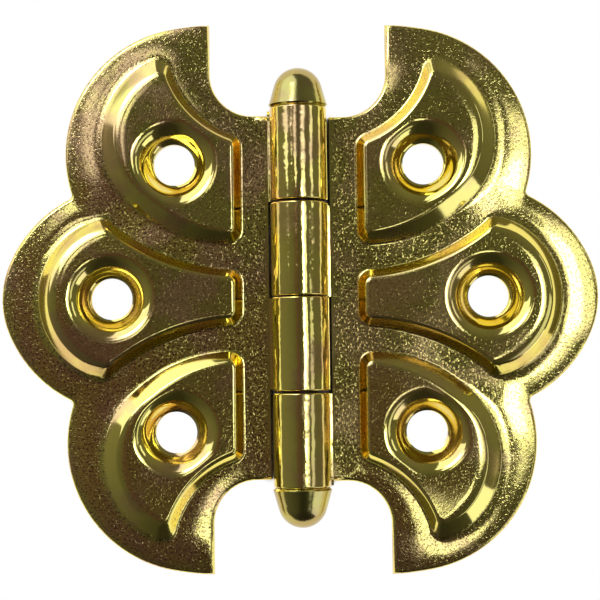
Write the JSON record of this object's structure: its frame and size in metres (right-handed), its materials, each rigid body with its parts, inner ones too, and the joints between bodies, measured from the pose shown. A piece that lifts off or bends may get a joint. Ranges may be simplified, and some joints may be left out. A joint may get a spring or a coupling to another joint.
{
  "type": "butterfly hinge",
  "caption": "Surface hinge with two wing-shaped pressed brass leaves, raised panels round countersunk screw holes, and a bullet-tipped pin.",
  "frame": {"origin": "on the plane of the leaves' back faces, under the middle of the pin", "axes": "+Z out of the hinge's front, towards the viewer; the pin along Y; +X towards the right leaf; open flat"},
  "size_m": [0.0634, 0.0588, 0.0062],
  "materials": {
    "leaf_left": "bright brass plating, satin and finely speckled on the flats, glossy on the curves",
    "leaf_right": "bright brass plating, satin and finely speckled on the flats, glossy on the curves",
    "pin": "bright brass plating, satin and finely speckled on the flats, glossy on the curves",
    "bottom_tip": "bright brass plating, satin and finely speckled on the flats, glossy on the curves"
  },
  "bodies": {
    "left_leaf": {"leaf_left": "leaf_left", "pin": "pin", "bottom_tip": "bottom_tip"},
    "right_leaf": {"leaf_right": "leaf_right"}
  },
  "joints": [
    {"name": "leaf_swing", "type": "hinge", "parent": "left_leaf", "child": "right_leaf", "pos_m": [0, 0, 0.0031], "axis": [0, -1, 0], "range_deg": [-90, 180]}
  ]
}
